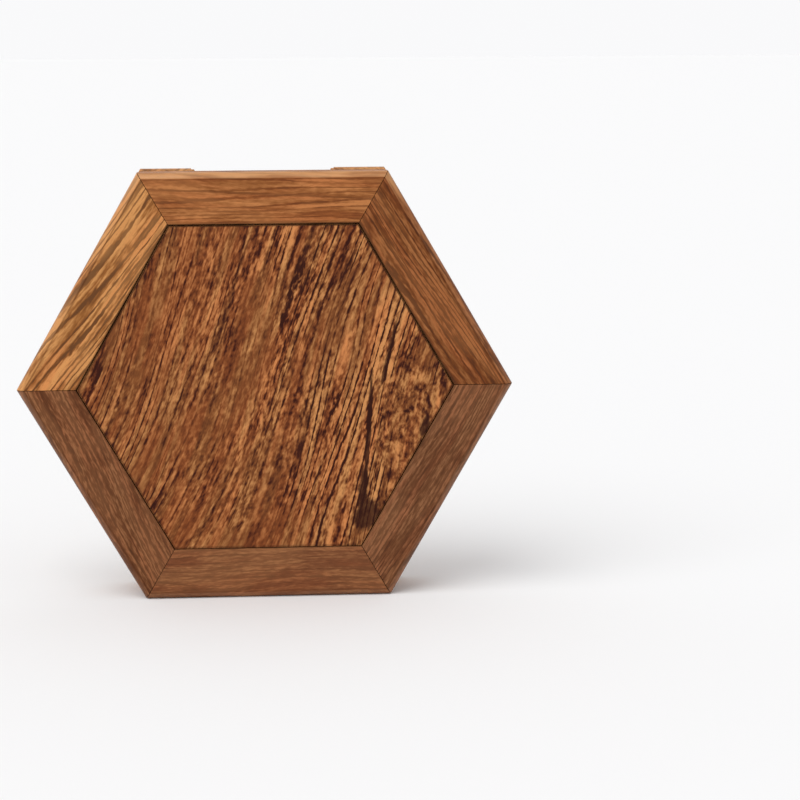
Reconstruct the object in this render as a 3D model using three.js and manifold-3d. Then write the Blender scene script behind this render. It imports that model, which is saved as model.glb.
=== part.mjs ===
// A hexagonal burr puzzle that opens by coordinate motion.
//
// Six mitred rails close round a loose hexagonal panel. A wall board hangs under each rail on a
// sliding dovetail, and six corner blocks ride on dovetails under the wall boards, each one
// joining two neighbours. Loose tenons cross the mitres. Nothing is glued or pinned: pulled
// outwards, all the rails and corner blocks slide apart together, and the panel comes free.
//
// The puzzle is designed lying on its corner blocks: z = 0 is the plane they rest on and the
// panel faces up. The finished group is then stood on its bottom rail, panel towards -Y, with the
// origin under its middle. A profile is written as (distance from the axis to the flat, height).
import * as THREE from "three";
import { mergeVertices } from "three/addons/utils/BufferGeometryUtils.js";
import Module from "manifold-3d";

const wasm = await Module();
wasm.setup();

// Driving dimensions, in millimetres.
const ACROSS_FLATS = 160;
const RAIL_WIDTH = 19;
const RAIL_THICKNESS = 8;
const WALL_HEIGHT = 15;
const BLOCK_HEIGHT = 8;
const WING_LENGTH = 21; // how far a corner block reaches along each side from its corner
const WALL_SETBACK = 4; // from the line of the rails' inner edge out to the wall boards and blocks
const ARRIS = 0.4; // the small bevel of a worked edge
const JOINT_ARRIS = 0.15; // the finer one on the two edges of the joint round the panel
const MITRE_GAP = 0.2; // between the end faces of neighbours
const REST_GAP = 0.15; // between faces that lie on each other
const SLIDE_GAP = 0.2; // round a part that slides in a groove or a mortise
const CURVE_STEPS = 6;
const CUT_MARGIN = 1; // how far a cut runs past the faces that it opens

const APOTHEM = ACROSS_FLATS / 2;
const HALF_SIDE = APOTHEM * Math.tan(Math.PI / 6);
const RAIL_INNER = APOTHEM - RAIL_WIDTH;
const WALL_INNER = RAIL_INNER + WALL_SETBACK;
const WALL_TOP = BLOCK_HEIGHT + WALL_HEIGHT;
const TOP = WALL_TOP + RAIL_THICKNESS;
const WING_START = HALF_SIDE - WING_LENGTH; // along a side, from its middle

// The rail's outer edge is rounded like a thumbnail, and stops at a crisp line on the front.
const THUMBNAIL = { radius: 3.4, turn: (75 / 180) * Math.PI };

// The wall board's face, from the rail down: a sunk waist, a bead, a quirk and a full apron.
// Each inset is how far that line lies inside the rail's outer face.
const WAIST = { height: 2.8, inset: 3 };
const BEAD = { height: 2.6, inset: 1.9, swell: 0.7 };
const QUIRK = { height: 0.7, inset: 2.5 };
const APRON = { topInset: 1.8, toeInset: 0.7, swell: 0.7 };

// The wall board's lower edge rises between the corner blocks in an ogee.
const OGEE = { rise: 2.6, shoulder: 1, steps: 20 };

// A corner block's face is slightly hollow, and its wings are shorter at the foot.
const BLOCK_FACE = { lip: 1.4, shoulder: 0.9, hollow: 0.5 };
const WING_END = { slant: 1.8, hollow: 0.5 };

// The dovetails under the rails and under the wall boards have one section.
const DOVETAIL_RADIUS = 72.5; // distance of its middle line from the axis
const DOVETAIL_NECK = 4.8;
const DOVETAIL_HEAD = 6.6;
const DOVETAIL_HEIGHT = 2.6;
const DOVETAIL_ROOT = 1; // how deep it is sunk into its board, so that the two solids join

// The panel's tongue runs in a groove round the inside of the rails.
const GROOVE_DEPTH = 5.6;
const GROOVE_LIP = 2.2; // the wood between the groove and the rail's back
const GROOVE_FLOOR = WALL_TOP + GROOVE_LIP;
const GROOVE_HEIGHT = 3.4;
const PANEL_REVEAL = 0.45; // the open joint round the panel's face
const PANEL_RECESS = 0.3; // how far the face lies below the rails
const PANEL_DROP = 0.2; // the loose panel and its battens sink this far when the puzzle stands up
const PANEL_BOTTOM = GROOVE_FLOOR + SLIDE_GAP;
const PANEL_FACE = TOP - PANEL_RECESS;

// The loose tenon lies square across the mitre, between panel groove and outer face.
const TENON = { along: 20, wide: 5, thick: 2.4, rise: 4.9 };
const TENON_RADIUS = 81.8; // distance of its middle from the axis, on the corner line
const TENON_LEVEL = WALL_TOP + TENON.rise;

// Two battens cross the panel's grain, with stub tenons in two opposite wall boards.
const BATTEN_OFFSET = 22;
const BATTEN = { wide: 10, below: 8, neck: 6.4, head: 8.4, into: 2.2 };
const BATTEN_END_GAP = 0.6; // from the batten's shoulder to the line of the rails' inner edge
const STUB = { wide: 6, thick: 3.4, into: 5, drop: 2.6 };
const STUB_LEVEL = WALL_TOP - STUB.drop;
const MORTISE_GAP = 0.4; // round a stub tenon, which has to let the panel drop

const SIDES = ["upper_right", "top", "upper_left", "lower_left", "bottom", "lower_right"];
const CORNERS = ["top_right", "top_left", "left", "bottom_left", "bottom_right", "right"];
const FIRST_SIDE_ANGLE = Math.PI / 6;
const SIXTH = Math.PI / 3;
const CORNER_ANGLE = Math.PI / 6; // from the middle of a side to its next corner
const FAR = 200; // beyond every face of the puzzle

const WOOD = {
  rail: { color: 0x7a4a28, roughness: 0.55, metalness: 0 },
  panel: { color: 0x6e4122, roughness: 0.55, metalness: 0 },
  wall: { color: 0x8f5f34, roughness: 0.6, metalness: 0 },
  block: { color: 0xa3703f, roughness: 0.6, metalness: 0 },
  hidden: { color: 0xb58a55, roughness: 0.7, metalness: 0 },
};

function solidFrom(geometry) {
  const bare = geometry.clone();
  bare.deleteAttribute("normal");
  bare.deleteAttribute("uv");
  const merged = mergeVertices(bare, 1e-4);
  return new wasm.Manifold(
    new wasm.Mesh({
      numProp: 3,
      vertProperties: merged.attributes.position.array,
      triVerts: new Uint32Array(merged.index.array),
    }),
  );
}

function geometryFrom(solid) {
  const mesh = solid.getMesh();
  const geometry = new THREE.BufferGeometry();
  geometry.setAttribute("position", new THREE.BufferAttribute(mesh.vertProperties, 3));
  geometry.setIndex(new THREE.BufferAttribute(mesh.triVerts, 1));
  const flat = geometry.toNonIndexed();
  flat.computeVertexNormals();
  return flat;
}

// A six-sided solid of revolution with a flat towards +X, from a profile of (apothem, height)
// points that run anticlockwise, or from the axis outwards and back to it.
function hexagonal(profile) {
  const toCorner = 1 / Math.cos(CORNER_ANGLE);
  const points = profile.map(([apothem, height]) => new THREE.Vector2(apothem * toCorner, height));
  const geometry = new THREE.LatheGeometry(points, 6);
  geometry.rotateX(Math.PI / 2);
  return solidFrom(geometry);
}

const closed = (profile) => [...profile, profile[0]];

// Points of an arc in a profile, from one angle to another, both in radians.
function arc(x, z, radius, from, to, steps = CURVE_STEPS) {
  const curve = new THREE.EllipseCurve(x, z, radius, radius, from, to);
  return curve.getPoints(steps).map((point) => point.toArray());
}

// Points of a curve between two profile points that swells outwards at its middle, or hollows.
function swelling(start, end, swell, steps = CURVE_STEPS) {
  const from = new THREE.Vector2(...start);
  const to = new THREE.Vector2(...end);
  const control = from.clone().add(to).multiplyScalar(0.5);
  control.x += 2 * swell;
  const curve = new THREE.QuadraticBezierCurve(from, control, to);
  return curve.getPoints(steps).map((point) => point.toArray());
}

// A flat outline in x and y, raised from one height to another.
function prism(outline, bottom, top) {
  const shape = new THREE.Shape(outline.map(([x, y]) => new THREE.Vector2(x, y)));
  const geometry = new THREE.ExtrudeGeometry(shape, { depth: top - bottom, bevelEnabled: false });
  geometry.translate(0, 0, bottom);
  return solidFrom(geometry);
}

// A sixth of the plane that opens outwards along an angle, starting apex away from the axis.
function sixth(angle, apex) {
  const tip = [apex * Math.cos(angle), apex * Math.sin(angle)];
  const edge = (side) => [
    tip[0] + FAR * Math.cos(angle + side * CORNER_ANGLE),
    tip[1] + FAR * Math.sin(angle + side * CORNER_ANGLE),
  ];
  return prism([tip, edge(-1), edge(1)], -FAR, FAR);
}

// A box with its middle at a distance from the axis along an angle, turned to face that way.
function boxAt(angle, distance, across, level, [out, side, up]) {
  const geometry = new THREE.BoxGeometry(out, side, up);
  geometry.translate(distance, across, level);
  geometry.rotateZ(angle);
  return solidFrom(geometry);
}

// The six-sided dovetail bar that stands on a face, grown by a clearance to cut its groove.
function dovetailRing(base, clearance) {
  const neck = DOVETAIL_NECK / 2 + clearance;
  const head = DOVETAIL_HEAD / 2 + clearance;
  const top = base + DOVETAIL_HEIGHT + clearance;
  const foot = base - DOVETAIL_ROOT;
  return hexagonal(
    closed([
      [DOVETAIL_RADIUS - neck, foot],
      [DOVETAIL_RADIUS + neck, foot],
      [DOVETAIL_RADIUS + neck, base],
      [DOVETAIL_RADIUS + head, top],
      [DOVETAIL_RADIUS - head, top],
      [DOVETAIL_RADIUS - neck, base],
    ]),
  );
}

// One side's share of a six-sided ring, mitred at both ends.
const mitred = (ring) => ring.intersect(sixth(0, MITRE_GAP));

// The part of a six-sided ring round a corner, cut square to each side at a distance from its middle.
const cornerOf = (ring, angle, start) => ring.intersect(sixth(angle, 2 * start));

function tenonBox(angle, clearance) {
  const size = [TENON.wide, TENON.along, TENON.thick].map((length) => length + 2 * clearance);
  return boxAt(angle, TENON_RADIUS, 0, TENON_LEVEL, size);
}

function railSolid() {
  const groove = RAIL_INNER + GROOVE_DEPTH;
  const { radius, turn } = THUMBNAIL;
  const ring = hexagonal(
    closed([
      [RAIL_INNER, WALL_TOP],
      [APOTHEM - ARRIS, WALL_TOP],
      [APOTHEM, WALL_TOP + ARRIS],
      ...arc(APOTHEM - radius, TOP - radius * Math.sin(turn), radius, 0, turn),
      [RAIL_INNER + JOINT_ARRIS, TOP],
      [RAIL_INNER, TOP - JOINT_ARRIS],
      [RAIL_INNER, GROOVE_FLOOR + GROOVE_HEIGHT],
      [groove, GROOVE_FLOOR + GROOVE_HEIGHT],
      [groove, GROOVE_FLOOR],
      [RAIL_INNER, GROOVE_FLOOR],
    ]),
  );
  return mitred(ring)
    .subtract(dovetailRing(WALL_TOP - REST_GAP, SLIDE_GAP))
    .subtract(tenonBox(CORNER_ANGLE, SLIDE_GAP))
    .subtract(tenonBox(-CORNER_ANGLE, SLIDE_GAP));
}

// A cut that runs outwards at an angle, from an outline drawn in (along the side there, height).
function sideCut(outline, angle = 0) {
  const shape = new THREE.Shape(outline.map(([x, y]) => new THREE.Vector2(x, y)));
  const geometry = new THREE.ExtrudeGeometry(shape, { depth: FAR, bevelEnabled: false });
  geometry.rotateX(Math.PI / 2); // the outline's y becomes height, and the cut runs along -Y
  geometry.rotateZ(Math.PI / 2 + angle); // then outwards, with the outline's x along the side
  return solidFrom(geometry);
}

function ogeeCut() {
  const half = WING_START - OGEE.shoulder;
  const curve = Array.from({ length: OGEE.steps + 1 }, (_, i) => {
    const along = half * (1 - (2 * i) / OGEE.steps);
    const share = (1 + Math.cos((Math.PI * along) / half)) / 2;
    return [along, BLOCK_HEIGHT + OGEE.rise * share];
  });
  const below = BLOCK_HEIGHT - CUT_MARGIN;
  return sideCut([...curve, [-half, below], [half, below]]);
}

// What lies beyond the end of a corner block's wing, towards the middle of the side at an angle.
// The wing lies at positive distances along that side, or at negative ones where way is -1.
function wingEndCut(angle, way) {
  const top = BLOCK_HEIGHT + DOVETAIL_HEIGHT;
  const foot = WING_START + WING_END.slant;
  const end = swelling([foot, 0], [WING_START, BLOCK_HEIGHT], WING_END.hollow);
  const [below, above] = [-CUT_MARGIN, top + CUT_MARGIN];
  const outline = [[0, below], [foot, below], ...end, [WING_START, above], [0, above]];
  return sideCut(outline.map(([along, height]) => [way * along, height]), angle);
}

function wallSolid(withMortises) {
  const top = WALL_TOP - REST_GAP;
  const waistFloor = top - WAIST.height;
  const beadFloor = waistFloor - BEAD.height;
  const apronTop = beadFloor - QUIRK.height;
  const toe = APOTHEM - APRON.toeInset;
  const apron = swelling([toe, BLOCK_HEIGHT + ARRIS], [APOTHEM - APRON.topInset, apronTop], APRON.swell);
  const bead = swelling([APOTHEM - BEAD.inset, beadFloor], [APOTHEM - BEAD.inset, waistFloor], BEAD.swell);
  const ring = hexagonal(
    closed([
      [WALL_INNER, BLOCK_HEIGHT],
      [toe - ARRIS, BLOCK_HEIGHT],
      ...apron,
      [APOTHEM - QUIRK.inset, apronTop + QUIRK.height / 2],
      ...bead,
      [APOTHEM - WAIST.inset, waistFloor + ARRIS],
      [APOTHEM - WAIST.inset, top],
      [WALL_INNER, top],
    ]),
  );
  const grooves = dovetailRing(BLOCK_HEIGHT - REST_GAP, SLIDE_GAP);
  let board = mitred(ring.add(dovetailRing(top, 0)))
    .subtract(cornerOf(grooves, CORNER_ANGLE, WING_START - SLIDE_GAP))
    .subtract(cornerOf(grooves, -CORNER_ANGLE, WING_START - SLIDE_GAP))
    .subtract(ogeeCut());
  if (withMortises) {
    const mortise = [STUB.into, STUB.wide, STUB.thick].map((size) => size + 2 * MORTISE_GAP);
    for (const across of [-BATTEN_OFFSET, BATTEN_OFFSET]) {
      board = board.subtract(boxAt(0, WALL_INNER + STUB.into / 2, across, STUB_LEVEL, mortise));
    }
  }
  return board;
}

function blockSolid() {
  const top = BLOCK_HEIGHT - REST_GAP;
  const { lip, shoulder, hollow } = BLOCK_FACE;
  const ring = hexagonal(
    closed([
      [WALL_INNER, 0],
      [APOTHEM - ARRIS, 0],
      [APOTHEM, ARRIS],
      ...swelling([APOTHEM, lip], [APOTHEM, top - shoulder], -hollow),
      [APOTHEM - shoulder, top],
      [WALL_INNER, top],
    ]),
  );
  return cornerOf(ring.add(dovetailRing(top, 0)), CORNER_ANGLE, WING_START)
    .subtract(wingEndCut(0, 1))
    .subtract(wingEndCut(SIXTH, -1));
}

function battenSection(clearance) {
  const half = BATTEN.wide / 2;
  const neck = BATTEN.neck / 2 + clearance;
  const head = BATTEN.head / 2 + clearance;
  const seat = PANEL_BOTTOM - REST_GAP;
  const top = seat + BATTEN.into + clearance;
  return [
    [-half, seat - BATTEN.below],
    [half, seat - BATTEN.below],
    [half, seat],
    [neck, seat],
    [head, top],
    [-head, top],
    [-neck, seat],
    [-half, seat],
  ];
}

// A bar of a section drawn in (across, height), running along X over a length, shifted across.
function bar(section, length, across = 0) {
  const shape = new THREE.Shape(section.map(([x, y]) => new THREE.Vector2(x, y)));
  const geometry = new THREE.ExtrudeGeometry(shape, { depth: length, bevelEnabled: false });
  geometry.translate(0, 0, -length / 2);
  geometry.rotateX(Math.PI / 2);
  geometry.rotateZ(Math.PI / 2);
  geometry.translate(0, across, 0);
  return solidFrom(geometry);
}

function battenSolid() {
  const body = bar(battenSection(0), 2 * (RAIL_INNER - BATTEN_END_GAP));
  const reach = 2 * (WALL_INNER + STUB.into);
  const stubs = boxAt(0, 0, 0, STUB_LEVEL, [reach, STUB.wide, STUB.thick]);
  return body.add(stubs);
}

function panelSolid() {
  const tongue = RAIL_INNER + GROOVE_DEPTH - 2 * SLIDE_GAP;
  const face = RAIL_INNER - PANEL_REVEAL;
  const tongueTop = GROOVE_FLOOR + GROOVE_HEIGHT - SLIDE_GAP;
  let panel = hexagonal([
    [0, PANEL_BOTTOM],
    [tongue, PANEL_BOTTOM],
    [tongue, tongueTop],
    [face, tongueTop],
    [face, PANEL_FACE - JOINT_ARRIS],
    [face - JOINT_ARRIS, PANEL_FACE],
    [0, PANEL_FACE],
  ]);
  for (const across of [-BATTEN_OFFSET, BATTEN_OFFSET]) {
    panel = panel.subtract(bar(battenSection(SLIDE_GAP), FAR, across));
  }
  return panel;
}

function piece(name, geometry, wood, angle) {
  const mesh = new THREE.Mesh(geometry, new THREE.MeshStandardMaterial(WOOD[wood]));
  mesh.name = name;
  mesh.rotation.z = angle;
  return mesh;
}

const rail = geometryFrom(railSolid());
const plainWall = geometryFrom(wallSolid(false));
const mortisedWall = geometryFrom(wallSolid(true));
const block = geometryFrom(blockSolid());
const tenon = geometryFrom(tenonBox(CORNER_ANGLE, 0));
const batten = geometryFrom(battenSolid());
const battenSide = SIDES.indexOf("upper_left"); // the battens run square to this side

const puzzle = new THREE.Group();
SIDES.forEach((side, i) => {
  const angle = FIRST_SIDE_ANGLE + i * SIXTH;
  const meetsBatten = i === battenSide || i === battenSide + 3;
  puzzle.add(piece(`rail_${side}`, rail, "rail", angle));
  puzzle.add(piece(`wall_board_${side}`, meetsBatten ? mortisedWall : plainWall, "wall", angle));
  puzzle.add(piece(`corner_block_${CORNERS[i]}`, block, "block", angle));
  puzzle.add(piece(`mitre_tenon_${CORNERS[i]}`, tenon, "hidden", angle));
});

const core = new THREE.Group();
core.rotation.z = FIRST_SIDE_ANGLE + battenSide * SIXTH;
core.position.y = -PANEL_DROP;
core.add(piece("centre_panel", geometryFrom(panelSolid()), "panel", 0));
for (const [name, across] of [["upper", -BATTEN_OFFSET], ["lower", BATTEN_OFFSET]]) {
  const mesh = piece(`batten_${name}`, batten, "hidden", 0);
  mesh.position.y = across;
  core.add(mesh);
}
puzzle.add(core);

// Stand the puzzle on its bottom rail, with the panel towards -Y.
puzzle.rotation.x = Math.PI / 2;
puzzle.position.set(0, TOP / 2, APOTHEM);

export default puzzle;
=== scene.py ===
import math
from dataclasses import dataclass
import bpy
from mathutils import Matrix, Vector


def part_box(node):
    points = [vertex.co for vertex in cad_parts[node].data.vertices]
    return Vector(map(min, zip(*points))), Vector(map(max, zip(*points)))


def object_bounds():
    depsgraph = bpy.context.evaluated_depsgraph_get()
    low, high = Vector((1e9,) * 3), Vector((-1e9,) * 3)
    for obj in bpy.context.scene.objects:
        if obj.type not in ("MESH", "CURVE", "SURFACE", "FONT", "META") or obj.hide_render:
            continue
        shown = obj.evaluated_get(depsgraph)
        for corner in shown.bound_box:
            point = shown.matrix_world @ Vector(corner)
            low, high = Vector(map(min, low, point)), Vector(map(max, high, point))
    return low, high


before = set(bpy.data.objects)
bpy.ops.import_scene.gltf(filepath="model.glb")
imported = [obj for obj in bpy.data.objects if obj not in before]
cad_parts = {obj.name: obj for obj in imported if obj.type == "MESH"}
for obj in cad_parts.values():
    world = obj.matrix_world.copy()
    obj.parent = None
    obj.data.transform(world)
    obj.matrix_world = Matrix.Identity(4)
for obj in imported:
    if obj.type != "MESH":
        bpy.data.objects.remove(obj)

from types import SimpleNamespace

import bpy
from mathutils import Euler, Quaternion, Vector

# A hexagonal wooden puzzle standing on one flat, its panel facing -Y. Every CAD node stays: modifiers round
# its edges, and a wood material runs the grain along each board. Lengths are metres, angles are degrees.

MM = 0.001
CAD_LOW, CAD_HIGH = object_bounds()
CENTRE = (CAD_LOW + CAD_HIGH) / 2
APOTHEM = (CAD_HIGH.z - CAD_LOW.z) / 2
FRONT = CAD_LOW.y

# From the middle of the opening in the rails to its sides and to its corners.
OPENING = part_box("rail_top")[0].z - CENTRE.z
PANEL_REACH = OPENING / math.cos(math.radians(30))

# The direction that each side and each corner faces. A side's boards run at right angles to it.
SIDE_FACES = {
    "upper_right": 30,
    "top": 90,
    "upper_left": 150,
    "lower_left": 210,
    "bottom": 270,
    "lower_right": 330,
}
CORNER_FACES = {
    "right": 0,
    "top_right": 60,
    "top_left": 120,
    "left": 180,
    "bottom_left": 240,
    "bottom_right": 300,
}

# The camera stands at arm's length in front of the puzzle and a little above it, with a long lens, and is
# turned down, to the right and round its own axis by these angles.
CAMERA_FROM_CENTRE = Vector((-0.0030, -0.8637, 0.1243))
CAMERA_DOWN = 8.68
CAMERA_RIGHT = 3.57
CAMERA_ROLL = -0.34
CAMERA_LENS = 103.5
CAMERA_SENSOR = 36.0

# Edges that turn by more than SQUARE_EDGE are rounded by ARRIS. From SHARP_CREASE up to it they stay crisp.
ARRIS = 0.22 * MM
SHARP_CREASE = 16
SQUARE_EDGE = 50

# An edge whose middle is this near a mitre is part of it, and keeps this share of the rounding.
MITRE_REACH = 0.3 * MM
MITRE_ARRIS = 0.3

# Vertices this near to each other are joined, in the CAD triangles and then in the rounded edges.
CAD_WELD = 0.001 * MM
ARRIS_WELD = 0.01 * MM

# How wide the rails' rounded outer edge looks from the front, and the pale colour of the highlight painted
# onto that edge, strongest along the top.
MOULDING = 2.5 * MM
PAINTED_HIGHLIGHT_COLOUR = (0.60, 0.31, 0.13)

# The painted shade along the crease inside the rounded edge: how far inside its middle lies, which is also
# how far it stays dark each side of its middle, and where it has faded out.
CREASE_SHADE_INSET = 0.1 * MM
CREASE_SHADE_FADE = 0.45 * MM

# The painted shade in the crack between the panel and the rails: its middle lies this far inside the rails'
# edge, and it fades out this far from its middle.
CRACK_MIDDLE = 0.3 * MM
CRACK_WIDTH = 0.95 * MM

# The tent's brightness high up and at its foot, and the heights (0 level, 1 overhead) that it fades between.
TENT = 0.74
TENT_FOOT = 0.96
TENT_FADE = (0.15, 0.4)
TENT_COLOUR = (0.99, 0.99, 1.0)
FLOOR_REACH = 60.0
FLOOR_COLOUR = (0.86, 0.86, 0.86)

# The broad light: its power, how wide it looks, and how far it stands left of the front and above the floor.
LIGHT_POWER = 1.5
LIGHT_BREADTH = 50
LIGHT_LEFT = 40
LIGHT_UP = 52


# ---------------------------------------------------------------- node helpers

class Graph:
    """Short calls for building one node tree."""

    def __init__(self, tree):
        self.tree = tree
        self.tree.nodes.clear()

    def node(self, kind, **settings):
        made = self.tree.nodes.new(kind)
        for name, value in settings.items():
            setattr(made, name, value)
        return made

    def put(self, socket, value):
        """Links a socket to value if value is a socket, and sets it as a constant otherwise."""
        if isinstance(value, bpy.types.NodeSocket):
            self.tree.links.new(value, socket)
        else:
            socket.default_value = value

    def math(self, operation, *values):
        made = self.node("ShaderNodeMath", operation=operation)
        for socket, value in zip(made.inputs, values):
            self.put(socket, value)
        return made.outputs[0]

    def vector(self, operation, *values):
        made = self.node("ShaderNodeVectorMath", operation=operation)
        for socket, value in zip(made.inputs, values):
            self.put(socket, value)
        return made.outputs[0]

    def add(self, *values):
        total = values[0]
        for value in values[1:]:
            total = self.math("ADD", total, value)
        return total

    def times(self, *values):
        total = values[0]
        for value in values[1:]:
            total = self.math("MULTIPLY", total, value)
        return total

    def band(self, value, low, high, start=0.0, end=1.0):
        """Goes smoothly from start to end as value goes from low to high."""
        made = self.node("ShaderNodeMapRange", interpolation_type="SMOOTHSTEP")
        self.put(made.inputs["Value"], value)
        made.inputs["From Min"].default_value = low
        made.inputs["From Max"].default_value = high
        self.put(made.inputs["To Min"], start)
        self.put(made.inputs["To Max"], end)
        return made.outputs["Result"]

    def split(self, vector):
        made = self.node("ShaderNodeSeparateXYZ")
        self.put(made.inputs[0], vector)
        return made.outputs[0], made.outputs[1], made.outputs[2]

    def join(self, x, y, z):
        made = self.node("ShaderNodeCombineXYZ")
        for socket, value in zip(made.inputs, (x, y, z)):
            self.put(socket, value)
        return made.outputs[0]

    def noise(self, vector, sizes, detail=2.0, roughness=0.5, distortion=0.0):
        """Noise whose features have these sizes, in metres, along the vector's three axes."""
        scaled = self.vector("MULTIPLY", vector, tuple(1 / size for size in sizes))
        made = self.node("ShaderNodeTexNoise")
        self.put(made.inputs["Vector"], scaled)
        made.inputs["Scale"].default_value = 1.0
        made.inputs["Detail"].default_value = detail
        made.inputs["Roughness"].default_value = roughness
        made.inputs["Distortion"].default_value = distortion
        return made.outputs[0]

    def ramp(self, value, stops):
        """A colour ramp; stops are (place, (red, green, blue)) in linear light."""
        made = self.node("ShaderNodeValToRGB")
        self.put(made.inputs[0], value)
        elements = made.color_ramp.elements
        while len(elements) < len(stops):
            elements.new(0.5)
        for element, (place, colour) in zip(elements, stops):
            element.position = place
            element.color = (*colour, 1.0)
        return made.outputs["Color"]

    def mix(self, factor, first, second):
        """A number between first and second."""
        return self.add(first, self.times(factor, self.math("SUBTRACT", second, first)))


def mix_sockets(made):
    """The colour sockets of a Mix node, which share their names with its other kinds."""
    colours = [socket for socket in made.inputs if socket.type == "RGBA"]
    result = next(socket for socket in made.outputs if socket.type == "RGBA")
    return colours[0], colours[1], result


def with_alpha(colour):
    """A colour of three numbers with full alpha added, or a socket as it is."""
    return (*colour, 1.0) if isinstance(colour, tuple) else colour


def colour_mix(graph, factor, first, second, how="MIX"):
    made = graph.node("ShaderNodeMix", data_type="RGBA", blend_type=how)
    a, b, result = mix_sockets(made)
    graph.put(made.inputs[0], factor)
    graph.put(a, with_alpha(first))
    graph.put(b, with_alpha(second))
    return result


def scaled_colour(colour, share):
    """A colour made darker or lighter."""
    return tuple(share * channel for channel in colour)


# ---------------------------------------------------------------- wood

# How large the features of the figure are along a board, into it and across it.
WANDER = (80 * MM, 30 * MM, 26 * MM)
WAVER = (7 * MM, 4 * MM, 3 * MM)
BROAD_TONE = (90 * MM, 20 * MM, 8 * MM)
PORES = (1.5 * MM, 0.35 * MM, 0.24 * MM)
PATCHES = (30 * MM, 14 * MM, 9 * MM)
RING_DRIFT = (130 * MM, 30 * MM, 12 * MM)
RED_STREAKS = (35 * MM, 12 * MM, 3.5 * MM)
CURLS = (4.5 * MM, 4 * MM, 6 * MM)
MARK_EDGES = (5 * MM, 5 * MM, 1.6 * MM)

# The same along a board and into it, for the features whose width each wood sets for itself.
STRIPES = (48 * MM, 6 * MM)
LINES = (18 * MM, 5 * MM)
DASH_DEPTH = 0.9 * MM

# How far the grain wanders and wavers sideways, and how many gaps the growth rings drift, from end to end of
# the noises that move them.
WANDER_REACH = 7 * MM
WAVER_REACH = 1.1 * MM
RING_DRIFT_REACH = 7.0

# The colour that the redder streaks are multiplied by.
REDDER = (1.0, 0.82, 0.78)

# The finish on the wood, and how deep its pores and lines are.
ROUGHNESS = 0.52
REFRACTION = 1.46
HIGHLIGHT = 0.1
COAT_ROUGHNESS = 0.28
RELIEF = 0.09 * MM
RELIEF_STRENGTH = 0.45

# How far each step of the seed moves a board through the noise, in metres.
SEED_STEP = (0.217, 0.091, 0.143)


@dataclass
class Wood:
    """How one board looks. Colours are linear; the strengths of its figure run from 0 to about 1.5."""

    dark: tuple
    mid: tuple
    light: tuple
    tone: float = 0.5
    stripes: float = 0.6
    lines: float = 0.6
    dashes: float = 0.6
    squiggle: float = 0.5
    pores: float = 0.5
    veins: float = 0.4
    red: float = 0.9
    stripe_width: float = 2.4 * MM
    vein_gap: float = 2.6 * MM
    line_width: float = 1.3 * MM
    dash_width: float = 0.7 * MM
    dash_length: float = 3.4 * MM
    slant: float = 0.0


def turned(graph, place, angle, moved=(0.0, 0.0, 0.0)):
    """Coordinates turned so that x runs at this angle in the front plane and z across it, and then moved."""
    made = graph.node("ShaderNodeMapping", vector_type="POINT")
    graph.put(made.inputs["Vector"], place)
    made.inputs["Rotation"].default_value = (0.0, math.radians(angle), 0.0)
    made.inputs["Location"].default_value = moved
    return made.outputs[0]


def centred(graph, noise, strength):
    """A noise moved to swing evenly about zero, times a strength."""
    return graph.times(graph.add(noise, -0.5), strength)


def hexagon_distance(graph, place):
    """How far a place is from the middle, measured square to the nearest side of the hexagon."""
    x, y, z = graph.split(place)
    reach = graph.math("ABSOLUTE", z)
    for way in (1, -1):
        slanted = graph.add(graph.times(x, math.cos(math.radians(30))), graph.times(z, way * 0.5))
        reach = graph.math("MAXIMUM", reach, graph.math("ABSOLUTE", slanted))
    return reach


def painted_crack_shade(graph, place):
    """1 in the crack round the panel, where shade is painted, most of all along the top."""
    off = graph.math("ABSOLUTE", graph.add(hexagon_distance(graph, place), -OPENING + CRACK_MIDDLE))
    near = graph.band(off, 0.5 * CRACK_WIDTH, CRACK_WIDTH, 1.0, 0.0)
    return graph.times(near, graph.band(graph.split(place)[2], -OPENING, OPENING, 0.45, 1.0))


def moulding(graph, place):
    """1 on the rounded outer edge of the rails' front, and 1 along the crease where it meets the face, where
    shade is painted.
    """
    reach = hexagon_distance(graph, place)
    depth = graph.split(place)[1]
    front = graph.band(depth, FRONT + 1.1 * MOULDING, FRONT + 1.3 * MOULDING, 1.0, 0.0)
    rounded = graph.times(graph.band(reach, APOTHEM - MOULDING, APOTHEM - 0.8 * MOULDING), front)
    off = graph.math("ABSOLUTE", graph.add(reach, MOULDING + CREASE_SHADE_INSET - APOTHEM))
    crease_shade = graph.times(graph.band(off, CREASE_SHADE_INSET, CREASE_SHADE_FADE, 1.0, 0.0), front)
    return rounded, crease_shade


def mark(graph, place, centre, angle, half_length, half_width):
    """1 inside a ragged mark in the front plane, 0 outside it. centre is (x, z) from the object's centre."""
    moved = graph.vector("SUBTRACT", place, (centre[0], 0.0, centre[1]))
    lengthwise = turned(graph, moved, angle)
    along, depth, across = graph.split(lengthwise)
    ragged = graph.noise(lengthwise, MARK_EDGES, detail=3.0, roughness=0.65)
    along = graph.times(along, 1 / half_length)
    across = graph.times(across, 1 / half_width)
    reach = graph.add(graph.times(along, along), graph.times(across, across), centred(graph, ragged, 2.2))
    return graph.band(reach, 0.45, 1.25, 1.0, 0.0)


def board_grain(graph, place, angle, seed, squiggle):
    """Coordinates with x along a board's grain, y into the board and z across it.

    The grain wanders slowly, and wavers at the scale of a few millimetres.
    """
    grain = turned(graph, place, angle, tuple(seed * step for step in SEED_STEP))
    wander = graph.noise(grain, WANDER, detail=1.0)
    waver = graph.noise(grain, WAVER, detail=1.5)
    x, y, z = graph.split(grain)
    z = graph.add(z, centred(graph, wander, WANDER_REACH), centred(graph, waver, WAVER_REACH * squiggle))
    return graph.join(x, y, z)


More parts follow.
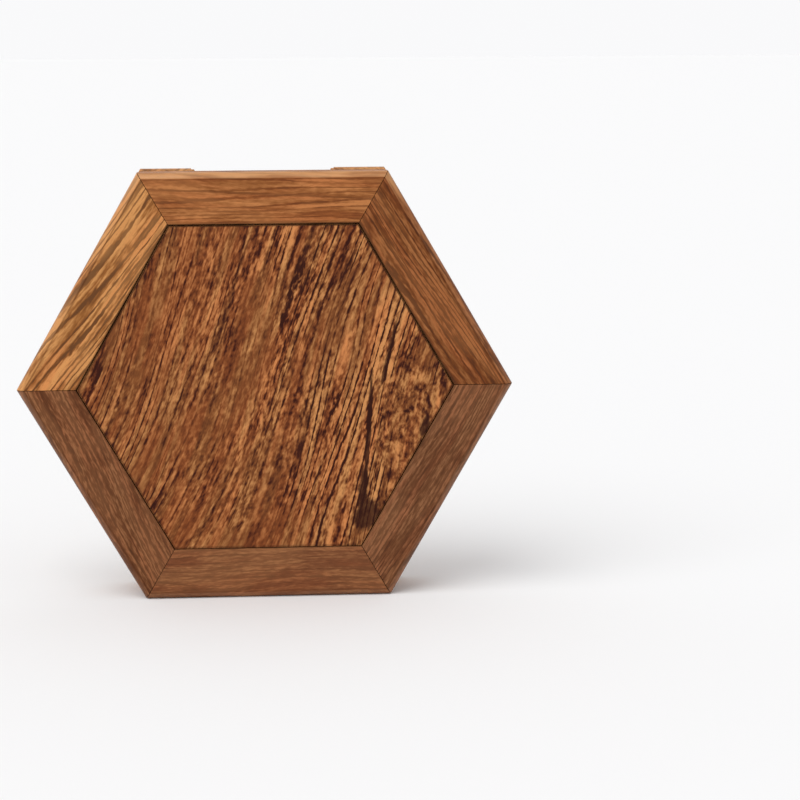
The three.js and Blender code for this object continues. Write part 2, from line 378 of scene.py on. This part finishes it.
def figure_noises(graph, grain, wood):
    """The noises that a board's figure is made of, each from 0 to 1."""
    return SimpleNamespace(
        broad=graph.noise(grain, BROAD_TONE, detail=2.0),
        stripes=graph.noise(grain, (*STRIPES, wood.stripe_width), detail=1.0, roughness=0.45),
        lines=graph.noise(grain, (*LINES, wood.line_width), detail=1.0, roughness=0.45),
        dashes=graph.noise(grain, (wood.dash_length, DASH_DEPTH, wood.dash_width), detail=1.0),
        pores=graph.noise(grain, PORES, detail=1.0),
        patches=graph.noise(grain, PATCHES, detail=2.0),
        drift=graph.noise(grain, RING_DRIFT, detail=1.0, roughness=0.4),
        red=graph.noise(grain, RED_STREAKS, detail=1.5),
    )


def fine_figure(graph, wood, noises, calm, flow):
    """Thin lines and short dashes, stronger in some patches than in others, swinging about zero."""
    flecks = graph.times(centred(graph, noises.dashes, wood.dashes), graph.mix(flow, 1.1, 0.9))
    fine = graph.add(centred(graph, noises.lines, wood.lines), flecks)
    return graph.times(fine, graph.times(graph.band(noises.patches, 0.36, 0.6, 0.6, 1.3), calm))


def growth_rings(graph, grain, wood, noises, calm, flow):
    """Dark lines, more or less evenly spaced across a board and bolder in some patches and stripes."""
    across = graph.split(grain)[2]
    phase = graph.add(graph.times(across, 1 / wood.vein_gap), centred(graph, noises.drift, RING_DRIFT_REACH))
    ring = graph.add(graph.math("PINGPONG", phase, 0.5), centred(graph, noises.dashes, 0.2))
    in_patches = graph.band(noises.patches, 0.35, 0.6, 0.4, 1.3)
    in_stripes = graph.band(noises.stripes, 0.35, 0.6, 0.5, 1.3)
    rings = graph.times(graph.add(graph.band(ring, 0.02, 0.2), -0.75), graph.times(in_patches, in_stripes))
    return graph.times(rings, calm, graph.mix(flow, 0.6 * wood.veins, 1.3 * wood.veins))


def curled_figure(graph, place, noises):
    """How light the wood is where its lines have broken up into curls."""
    curls = graph.noise(place, CURLS, detail=3.0, roughness=0.62, distortion=0.7)
    return graph.add(0.5, centred(graph, curls, 2.0), centred(graph, noises.dashes, 1.0))


def bare_colour(graph, place, wood, noises, value, pits, marks):
    """The wood's colour from how light it is, with its pores, its marks and painted shade in the crack round
    the panel.
    """
    colour = graph.ramp(value, (
        (0.05, scaled_colour(wood.dark, 0.7)),
        (0.22, wood.dark),
        (0.5, wood.mid),
        (0.78, wood.light),
        (0.95, scaled_colour(wood.light, 1.25)),
    ))
    redder = graph.times(graph.band(noises.red, 0.38, 0.62), wood.red)
    colour = colour_mix(graph, redder, colour, REDDER, how="MULTIPLY")
    colour = colour_mix(graph, graph.times(pits, 0.7), colour, wood.dark)
    for *shape, strength in marks:
        inside = graph.times(mark(graph, place, *shape), strength)
        colour = colour_mix(graph, inside, colour, scaled_colour(wood.dark, 0.6))
    # Painted shade in the crack round the panel, darkened towards a deep brown.
    crack = graph.times(painted_crack_shade(graph, place), 0.85)
    return colour_mix(graph, crack, colour, scaled_colour(wood.dark, 0.3))


def worn_colour_with_painted_light(graph, place, wood, noises, colour, worn, rounded, crease_shade):
    """The colour with edges worn a little paler by handling, a painted highlight on the rails' rounded edge,
    strongest along the top, and painted shade along the crease inside that edge.
    """
    rub = graph.times(worn, graph.band(noises.patches, 0.4, 0.6, 0.2, 0.5))
    colour = colour_mix(graph, rub, colour, wood.light)
    # Painted highlight on the rails' rounded edge, paled towards a light colour and strongest near the top.
    painted_highlight = graph.times(rounded, graph.band(graph.split(place)[2], 0.8 * APOTHEM, APOTHEM, 0.03, 0.65))
    painted_highlight = graph.times(painted_highlight, graph.band(noises.lines, 0.35, 0.6, 0.5, 1.0))
    colour = colour_mix(graph, painted_highlight, colour, PAINTED_HIGHLIGHT_COLOUR)
    # Painted shade along the crease inside the rounded edge.
    return colour_mix(graph, graph.times(crease_shade, 0.4), colour, wood.dark)


def relief(graph, height):
    """The normal of a face whose lines and pores are raised and sunk by this height."""
    bump = graph.node("ShaderNodeBump")
    bump.inputs["Strength"].default_value = RELIEF_STRENGTH
    bump.inputs["Distance"].default_value = RELIEF
    graph.put(bump.inputs["Height"], height)
    return bump.outputs[0]


def wood_material(name, wood, angle, seed, marks=(), warp=None, calm=None, flow=None, curl=None):
    """A procedural wood.

    marks are (centre, angle, half_length, half_width, strength). The rest are functions of place: warp bends
    the grain, calm scales its figure, flow turns short dashes into long lines, and curl breaks the lines up
    into curls.
    """
    material = bpy.data.materials.new(name)
    material.use_nodes = True
    graph = Graph(material.node_tree)
    place = graph.vector("SUBTRACT", graph.node("ShaderNodeTexCoord").outputs["Object"], tuple(CENTRE))
    calm = calm(graph, place) if calm else 1.0
    flow = flow(graph, place) if flow else 0.5
    bent = warp(graph, place) if warp else place
    grain = board_grain(graph, bent, angle + wood.slant, seed, wood.squiggle)
    noises = figure_noises(graph, grain, wood)

    fine = fine_figure(graph, wood, noises, calm, flow)
    streaks = graph.times(centred(graph, noises.stripes, wood.stripes), calm)
    rings = growth_rings(graph, grain, wood, noises, calm, flow)
    value = graph.add(0.5, centred(graph, noises.broad, wood.tone), streaks, fine, rings)
    if curl:
        value = graph.mix(curl(graph, place), value, curled_figure(graph, place, noises))

    pits = graph.times(graph.band(noises.pores, 0.6, 0.72), wood.pores)
    worn = graph.node("ShaderNodeAttribute", attribute_name="arris").outputs["Fac"]
    rounded, crease_shade = moulding(graph, place)
    colour = bare_colour(graph, place, wood, noises, value, pits, marks)
    colour = worn_colour_with_painted_light(graph, place, wood, noises, colour, worn, rounded, crease_shade)
    uneven = centred(graph, noises.broad, 0.3)
    gloss = graph.add(ROUGHNESS, uneven, graph.times(pits, 0.15), graph.times(worn, -0.08))
    coat = graph.times(rounded, graph.band(noises.patches, 0.35, 0.65, 0.15, 0.4))

    shader = graph.node("ShaderNodeBsdfPrincipled")
    graph.put(shader.inputs["Base Color"], colour)
    graph.put(shader.inputs["Roughness"], gloss)
    graph.put(shader.inputs["Normal"], relief(graph, graph.add(fine, graph.times(pits, -0.8))))
    shader.inputs["IOR"].default_value = REFRACTION
    shader.inputs["Specular IOR Level"].default_value = HIGHLIGHT
    graph.put(shader.inputs["Coat Weight"], coat)
    shader.inputs["Coat Roughness"].default_value = COAT_ROUGHNESS
    output = graph.node("ShaderNodeOutputMaterial")
    graph.put(output.inputs["Surface"], shader.outputs[0])
    return material


# ---------------------------------------------------------------- edges

def geometry_group(name):
    """A new geometry node group with one geometry in and one out, and its two end nodes."""
    group = bpy.data.node_groups.new(name, "GeometryNodeTree")
    group.interface.new_socket("Geometry", in_out="INPUT", socket_type="NodeSocketGeometry")
    group.interface.new_socket("Geometry", in_out="OUTPUT", socket_type="NodeSocketGeometry")
    return group, group.nodes.new("NodeGroupInput").outputs[0], group.nodes.new("NodeGroupOutput").inputs[0]


def crease_group():
    """Shades every face smooth, but not across the shallow crease where a moulding meets a flat face.

    It also says how far the bevel rounds each edge: square edges in full, and the closed mitres hardly at
    all.
    """
    group, start, end = geometry_group("creases")
    nodes, links = group.nodes, group.links

    def number(operation, first, second):
        made = nodes.new("ShaderNodeMath")
        made.operation = operation
        for socket, value in zip(made.inputs, (first, second)):
            if isinstance(value, bpy.types.NodeSocket):
                links.new(value, socket)
            else:
                socket.default_value = value
        return made.outputs[0]

    angle = nodes.new("GeometryNodeInputMeshEdgeAngle").outputs["Unsigned Angle"]
    square = number("GREATER_THAN", angle, math.radians(SQUARE_EDGE))
    creased = number("SUBTRACT", number("GREATER_THAN", angle, math.radians(SHARP_CREASE)), square)
    smooth = nodes.new("GeometryNodeSetShadeSmooth")
    links.new(start, smooth.inputs["Geometry"])
    crease = nodes.new("GeometryNodeSetShadeSmooth")
    crease.domain = "EDGE"
    crease.inputs["Shade Smooth"].default_value = False
    links.new(smooth.outputs[0], crease.inputs["Geometry"])
    links.new(creased, crease.inputs["Selection"])

    place = nodes.new("ShaderNodeSeparateXYZ")
    links.new(nodes.new("GeometryNodeInputPosition").outputs[0], place.inputs[0])
    up = number("SUBTRACT", place.outputs["Z"], CENTRE.z)
    closed = 0.0
    for corner in (0, 60, 120):
        turn = math.radians(corner)
        off = number("SUBTRACT", number("MULTIPLY", up, math.cos(turn)),
                     number("MULTIPLY", place.outputs["X"], math.sin(turn)))
        closed = number("ADD", closed, number("LESS_THAN", number("ABSOLUTE", off, 0.0), MITRE_REACH))
    kept = number("SUBTRACT", 1.0, number("MULTIPLY", number("MINIMUM", closed, 1.0), 1.0 - MITRE_ARRIS))
    weight = nodes.new("GeometryNodeStoreNamedAttribute")
    weight.data_type = "FLOAT"
    weight.domain = "EDGE"
    weight.inputs["Name"].default_value = "bevel_weight_edge"
    links.new(crease.outputs[0], weight.inputs["Geometry"])
    links.new(number("MULTIPLY", square, kept), weight.inputs["Value"])
    links.new(weight.outputs[0], end)
    return group


def worn_group():
    """Turns the second material slot of the bevelled faces into arris, an attribute that the wood reads."""
    group, start, end = geometry_group("worn_edges")
    nodes, links = group.nodes, group.links
    store = nodes.new("GeometryNodeStoreNamedAttribute")
    store.data_type = "FLOAT"
    store.domain = "POINT"
    store.inputs["Name"].default_value = "arris"
    links.new(start, store.inputs["Geometry"])
    links.new(nodes.new("GeometryNodeInputMaterialIndex").outputs[0], store.inputs["Value"])
    plain = nodes.new("GeometryNodeSetMaterialIndex")
    plain.inputs["Material Index"].default_value = 0
    links.new(store.outputs[0], plain.inputs["Geometry"])
    links.new(plain.outputs[0], end)
    return group


def round_edges(node, creases, worn, width):
    """Joins the CAD triangles into clean faces, rounds the square edges and shades the faces flat."""
    weld = node.modifiers.new("weld", "WELD")
    weld.merge_threshold = CAD_WELD
    flat = node.modifiers.new("clean_faces", "DECIMATE")
    flat.decimate_type = "DISSOLVE"
    flat.angle_limit = math.radians(0.5)
    node.modifiers.new("creases", "NODES").node_group = creases
    bevel = node.modifiers.new("arris", "BEVEL")
    bevel.width = width
    bevel.segments = 2
    bevel.limit_method = "WEIGHT"
    bevel.use_clamp_overlap = False
    bevel.material = 1
    slivers = node.modifiers.new("join_slivers", "WELD")
    slivers.merge_threshold = ARRIS_WELD
    node.modifiers.new("worn_edges", "NODES").node_group = worn
    normals = node.modifiers.new("flat_shading", "WEIGHTED_NORMAL")
    normals.mode = "FACE_AREA"
    normals.weight = 100
    normals.keep_sharp = True


def wear(node, material):
    """Gives a CAD node its wood, with a second slot of the same wood for the bevel to mark."""
    node.data.materials.clear()
    node.data.materials.append(material)
    node.data.materials.append(material)


# ---------------------------------------------------------------- the woods of this puzzle

# The panel's grain leans: its lines go PANEL_LEAN to the right for each unit up. The lean falls by PANEL_FAN
# for each metre to the right, and the fan itself grows by PANEL_TWIST for each metre down.
PANEL_LEAN = 0.325
PANEL_FAN = 1.2
PANEL_TWIST = 30.0

# The knot near the panel's right corner: its middle, half its width and height, and how ragged its edge is.
KNOT = Vector((0.76 * PANEL_REACH, 0.0, -0.24 * OPENING))
KNOT_HALF_WIDTH = 14 * MM
KNOT_HALF_HEIGHT = 27 * MM
KNOT_EDGE = (9 * MM, 9 * MM, 9 * MM)


def panel_warp(graph, place):
    """Fans the panel's grain: its lines stand steeper on the right than on the left, most of all low down."""
    x, y, z = graph.split(place)
    fan = graph.add(PANEL_FAN, graph.times(z, -PANEL_TWIST))
    lean = graph.add(PANEL_LEAN, graph.times(x, fan, -1.0))
    x = graph.math("SUBTRACT", x, graph.times(z, lean))
    return graph.join(x, y, z)


def panel_calm(graph, place):
    """The panel's left is smooth wood, and its middle and right are coarse."""
    return graph.band(graph.split(place)[0], -0.5 * PANEL_REACH, 0.5 * PANEL_REACH, 0.6, 1.1)


def panel_flow(graph, place):
    """The panel's middle is flecked with short dashes, and its left and right have long lines."""
    x = graph.split(place)[0]
    left = graph.band(x, -0.7 * PANEL_REACH, -0.3 * PANEL_REACH, 0.8, 0.0)
    return graph.add(left, graph.band(x, -0.1 * PANEL_REACH, 0.45 * PANEL_REACH))


def panel_curl(graph, place):
    """Near 1 round the knot, where the lines break up into curls, and 0 away from it."""
    x, y, z = graph.split(graph.vector("SUBTRACT", place, tuple(KNOT)))
    ragged = graph.noise(place, KNOT_EDGE, detail=2.0)
    x = graph.times(x, 1 / KNOT_HALF_WIDTH)
    z = graph.times(z, 1 / KNOT_HALF_HEIGHT)
    reach = graph.add(graph.times(x, x), graph.times(z, z), centred(graph, ragged, 1.6))
    return graph.band(reach, 0.5, 1.2, 0.85, 0.0)


PANEL_WOOD = Wood(
    dark=(0.045, 0.009, 0.004), mid=(0.200, 0.065, 0.018), light=(0.46, 0.202, 0.068),
    tone=0.35, stripes=0.4, lines=0.75, dashes=1.0, squiggle=0.4, pores=0.2, veins=0.36,
    stripe_width=3.0 * MM, vein_gap=2.7 * MM, line_width=1.5 * MM,
    dash_width=0.85 * MM, dash_length=2.3 * MM,
)

# The three lower rails have a finer grain than the others.
FINE_GRAIN = {"line_width": 1.0 * MM, "dash_width": 0.55 * MM, "dash_length": 2.8 * MM}
RAIL_WOODS = {
    "top": Wood(
        (0.10, 0.018, 0.002), (0.208, 0.066, 0.015), (0.40, 0.155, 0.050),
        tone=0.25, stripes=0.4, lines=1.0, dashes=0.8, squiggle=0.2, veins=0.6, slant=-3,
        stripe_width=2.0 * MM, vein_gap=2.8 * MM,
    ),
    "upper_left": Wood(
        (0.042, 0.004, 0.001), (0.205, 0.064, 0.010), (0.51, 0.232, 0.076),
        tone=0.3, stripes=0.6, lines=1.6, dashes=0.9, squiggle=0.3, veins=1.3, slant=-6,
        stripe_width=2.4 * MM, vein_gap=2.3 * MM,
    ),
    "upper_right": Wood(
        (0.037, 0.005, 0.001), (0.118, 0.029, 0.004), (0.29, 0.108, 0.034),
        tone=0.2, stripes=0.4, lines=1.2, dashes=1.0, squiggle=0.2, veins=0.65, slant=3,
        stripe_width=2.0 * MM, vein_gap=2.2 * MM,
    ),
    "lower_left": Wood(
        (0.060, 0.014, 0.003), (0.100, 0.031, 0.009), (0.24, 0.099, 0.040),
        tone=0.25, stripes=0.3, lines=0.9, dashes=1.3, squiggle=0.3, veins=0.45, slant=-6,
        stripe_width=1.9 * MM, vein_gap=2.0 * MM, **FINE_GRAIN,
    ),
    "bottom": Wood(
        (0.090, 0.027, 0.010), (0.149, 0.049, 0.019), (0.28, 0.116, 0.045),
        tone=0.2, stripes=0.3, lines=0.7, dashes=0.9, squiggle=0.3, veins=0.35, slant=1,
        stripe_width=2.0 * MM, vein_gap=2.7 * MM, **FINE_GRAIN,
    ),
    "lower_right": Wood(
        (0.048, 0.012, 0.003), (0.102, 0.034, 0.011), (0.24, 0.101, 0.043),
        tone=0.12, stripes=0.3, lines=0.9, dashes=1.0, squiggle=0.2, veins=0.5, slant=-1,
        stripe_width=1.8 * MM, vein_gap=1.9 * MM, **FINE_GRAIN,
    ),
}
WALL_WOOD = Wood(
    (0.085, 0.026, 0.007), (0.255, 0.100, 0.031), (0.46, 0.215, 0.080),
    tone=0.4, stripes=0.5, lines=0.8, dashes=1.2, squiggle=0.4, veins=0.5,
    stripe_width=1.8 * MM, vein_gap=2.4 * MM,
)
BLOCK_WOOD = Wood(
    (0.11, 0.037, 0.010), (0.315, 0.136, 0.046), (0.55, 0.285, 0.115),
    tone=0.5, stripes=0.5, lines=0.8, dashes=1.2, squiggle=0.4, veins=0.5,
    stripe_width=1.8 * MM, vein_gap=2.4 * MM,
)
HIDDEN_WOOD = Wood(
    (0.20, 0.085, 0.030), (0.42, 0.215, 0.088), (0.62, 0.37, 0.175),
    tone=0.5, stripes=0.5, lines=0.7, dashes=1.0, squiggle=0.4, veins=0.4,
    stripe_width=1.8 * MM, vein_gap=2.6 * MM,
)

# Dark marks in the figure: (centre, angle, half_length, half_width, strength).
PANEL_MARKS = (
    ((0.54 * PANEL_REACH, -0.30 * OPENING), 86, 26 * MM, 1.0 * MM, 0.9),
    ((0.65 * PANEL_REACH, 0.19 * OPENING), 76, 15 * MM, 0.8 * MM, 0.8),
    ((0.51 * PANEL_REACH, -0.62 * OPENING), 84, 9 * MM, 1.9 * MM, 0.9),
    ((0.53 * PANEL_REACH, -0.80 * OPENING), 72, 7 * MM, 5 * MM, 0.88),
    ((0.84 * PANEL_REACH, -0.25 * OPENING), 75, 4.5 * MM, 1.8 * MM, 0.85),
)
RAIL_MARKS = {
    "top": (((-2 * MM, APOTHEM - 8 * MM), -3, 40 * MM, 0.5 * MM, 0.6),),
    "upper_left": (
        ((-42.1 * MM, 52 * MM), 60, 11 * MM, 1.3 * MM, 0.5),
        ((-48.2 * MM, 70.5 * MM), 60, 9 * MM, 0.9 * MM, 0.6),
    ),
}


def dress():
    """Gives every CAD node its rounded edges and its wood, with a seed that sets each board's figure."""
    creases, worn = crease_group(), worn_group()
    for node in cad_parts.values():
        round_edges(node, creases, worn, ARRIS)
    seed = 1
    for side, faces in SIDE_FACES.items():
        runs = faces + 90
        rail = wood_material("rail_wood_" + side, RAIL_WOODS[side], runs, seed, RAIL_MARKS.get(side, ()))
        wear(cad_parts["rail_" + side], rail)
        board = wood_material("wall_wood_" + side, WALL_WOOD, runs, seed + 20)
        wear(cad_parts["wall_board_" + side], board)
        seed += 1
    for corner, faces in CORNER_FACES.items():
        block = wood_material("block_wood_" + corner, BLOCK_WOOD, faces + 90, seed + 40)
        wear(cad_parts["corner_block_" + corner], block)
        tenon = wood_material("tenon_wood_" + corner, HIDDEN_WOOD, faces, seed + 60)
        wear(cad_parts["mitre_tenon_" + corner], tenon)
        seed += 1
    figure = (panel_warp, panel_calm, panel_flow, panel_curl)
    panel = wood_material("panel_wood", PANEL_WOOD, 90, seed, PANEL_MARKS, *figure)
    wear(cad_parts["centre_panel"], panel)
    for name in ("batten_upper", "batten_lower"):
        batten = wood_material(name + "_wood", HIDDEN_WOOD, 150, seed + 7)
        wear(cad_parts[name], batten)
        seed += 1


# ---------------------------------------------------------------- studio

def floor():
    """A wide, plain, near-white floor at the puzzle's foot."""
    mesh = bpy.data.meshes.new("floor")
    corners = [(x * FLOOR_REACH, y * FLOOR_REACH, CAD_LOW.z) for x, y in ((-1, -1), (1, -1), (1, 1), (-1, 1))]
    mesh.from_pydata(corners, [], [(0, 1, 2, 3)])
    piece = bpy.data.objects.new("floor", mesh)
    bpy.context.scene.collection.objects.link(piece)
    material = bpy.data.materials.new("floor_paper")
    material.use_nodes = True
    shader = material.node_tree.nodes["Principled BSDF"]
    shader.inputs["Base Color"].default_value = with_alpha(FLOOR_COLOUR)
    shader.inputs["Roughness"].default_value = 0.9
    shader.inputs["Specular IOR Level"].default_value = 0.1
    mesh.materials.append(material)


def studio():
    """A white tent, brightest where it meets the floor, and one broad soft light from the front's left."""
    world = bpy.data.worlds.new("white_tent")
    bpy.context.scene.world = world
    world.use_nodes = True
    graph = Graph(world.node_tree)
    up = graph.split(graph.node("ShaderNodeTexCoord").outputs["Generated"])[2]
    strength = graph.band(up, *TENT_FADE, TENT_FOOT, TENT)
    background = graph.node("ShaderNodeBackground")
    background.inputs["Color"].default_value = with_alpha(TENT_COLOUR)
    graph.put(background.inputs["Strength"], strength)
    output = graph.node("ShaderNodeOutputWorld")
    graph.put(output.inputs["Surface"], background.outputs[0])

    data = bpy.data.lights.new("broad_light", "SUN")
    data.energy = LIGHT_POWER
    data.angle = math.radians(LIGHT_BREADTH)
    light = bpy.data.objects.new("broad_light", data)
    left, up = math.radians(LIGHT_LEFT), math.radians(LIGHT_UP)
    towards = Vector((-math.sin(left) * math.cos(up), -math.cos(left) * math.cos(up), math.sin(up)))
    light.rotation_mode = "QUATERNION"
    light.rotation_quaternion = (-towards).to_track_quat("-Z", "Y")
    bpy.context.scene.collection.objects.link(light)
    bpy.context.scene.view_settings.view_transform = "Standard"


def camera():
    """The camera at its place, level except for its three turns."""
    data = bpy.data.cameras.new("camera")
    data.lens = CAMERA_LENS
    data.sensor_width = CAMERA_SENSOR
    eye = bpy.data.objects.new("camera", data)
    eye.location = CENTRE + CAMERA_FROM_CENTRE
    aim = Euler((math.radians(90 - CAMERA_DOWN), 0.0, -math.radians(CAMERA_RIGHT)))
    roll = Quaternion((0.0, 0.0, 1.0), math.radians(CAMERA_ROLL))
    eye.rotation_mode = "QUATERNION"
    eye.rotation_quaternion = aim.to_quaternion() @ roll
    bpy.context.scene.collection.objects.link(eye)
    bpy.context.scene.camera = eye


camera()
dress()
floor()
studio()
